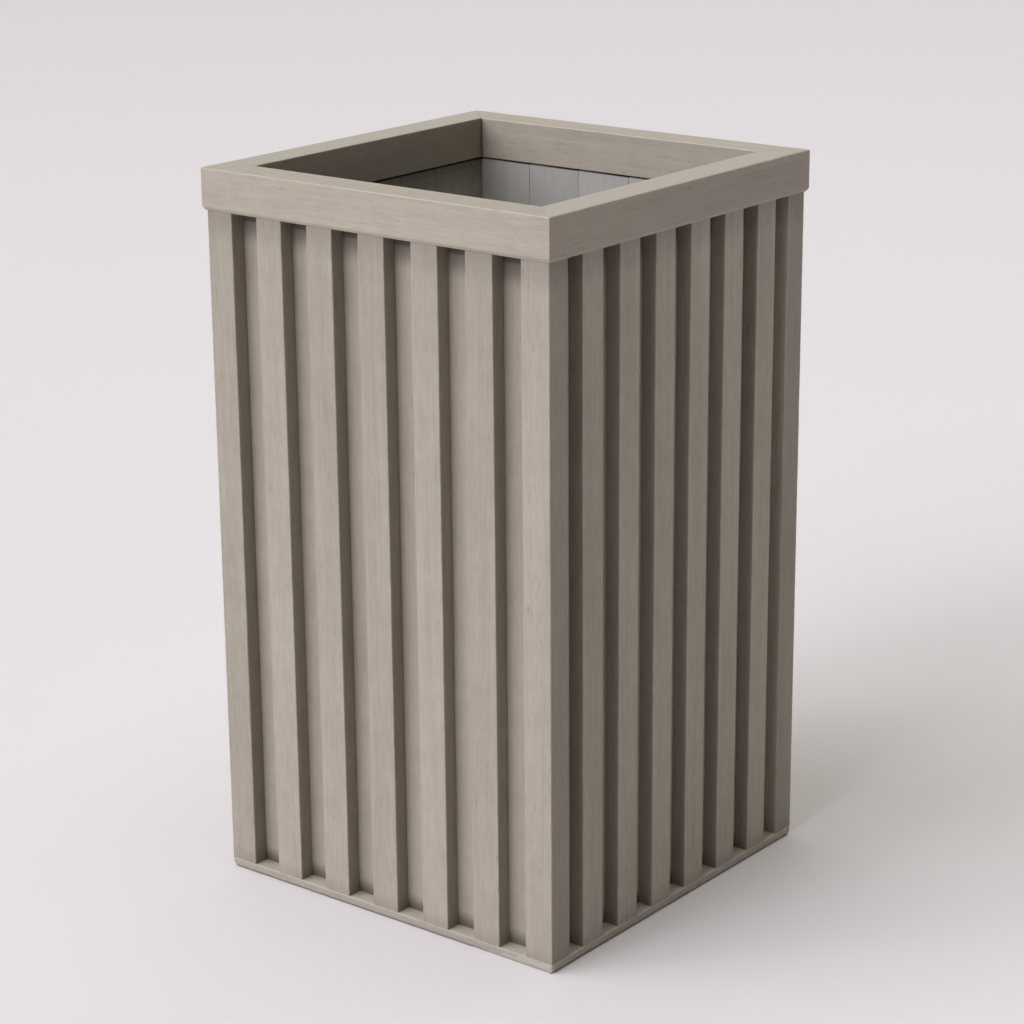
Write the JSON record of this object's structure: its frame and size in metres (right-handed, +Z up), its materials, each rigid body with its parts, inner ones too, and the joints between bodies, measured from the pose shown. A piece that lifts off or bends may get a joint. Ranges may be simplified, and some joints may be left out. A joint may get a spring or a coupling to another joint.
{
  "type": "wastebasket",
  "caption": "Tall square open-topped wastebasket in greige painted wood: upright boards faced with raised slats between corner posts, a mitred rim and a flat base panel.",
  "frame": {"origin": "middle of the underside, on the surface that the wastebasket stands on", "axes": "+Z up through the open top; -Y is the front wall, the one with five slats between its posts; +X is the right wall, with six"},
  "size_m": [0.254, 0.254, 0.44],
  "materials": {
    "slat_wood": "greige stain over fine vertical grain, matt to satin, edges slightly worn",
    "rim_wood": "greige stain over fine horizontal grain, matt to satin",
    "board_wood": "greige stain, cooler and flatter than the slats, fine vertical grain",
    "base_wood": "greige stain, matt, paler along the worn lower edge",
    "screw_steel": "zinc-plated, satin"
  },
  "bodies": {
    "root": {"base_panel": "base_wood", "corner_post_front_left": "slat_wood", "corner_post_front_right": "slat_wood", "corner_post_back_right": "slat_wood", "corner_post_back_left": "slat_wood", "slat_front_1": "slat_wood", "slat_front_2": "slat_wood", "slat_front_3": "slat_wood", "slat_front_4": "slat_wood", "slat_front_5": "slat_wood", "board_front_1": "board_wood", "board_front_2": "board_wood", "board_front_3": "board_wood", "board_front_4": "board_wood", "board_front_5": "board_wood", "board_front_6": "board_wood", "slat_back_1": "slat_wood", "slat_back_2": "slat_wood", "slat_back_3": "slat_wood", "slat_back_4": "slat_wood", "slat_back_5": "slat_wood", "board_back_1": "board_wood", "board_back_2": "board_wood", "board_back_3": "board_wood", "board_back_4": "board_wood", "board_back_5": "board_wood", "board_back_6": "board_wood", "slat_left_1": "slat_wood", "slat_left_2": "slat_wood", "slat_left_3": "slat_wood", "slat_left_4": "slat_wood", "slat_left_5": "slat_wood", "slat_left_6": "slat_wood", "board_left_1": "board_wood", "board_left_2": "board_wood", "board_left_3": "board_wood", "board_left_4": "board_wood", "board_left_5": "board_wood", "board_left_6": "board_wood", "slat_right_1": "slat_wood", "slat_right_2": "slat_wood", "slat_right_3": "slat_wood", "slat_right_4": "slat_wood", "slat_right_5": "slat_wood", "slat_right_6": "slat_wood", "board_right_1": "board_wood", "board_right_2": "board_wood", "board_right_3": "board_wood", "board_right_4": "board_wood", "board_right_5": "board_wood", "board_right_6": "board_wood", "rim_rail_front": "rim_wood", "rim_rail_back": "rim_wood", "rim_rail_left": "rim_wood", "rim_rail_right": "rim_wood", "base_screw_front_left": "screw_steel", "base_screw_front_right": "screw_steel", "base_screw_back_right": "screw_steel", "base_screw_back_left": "screw_steel"}
  },
  "joints": []
}
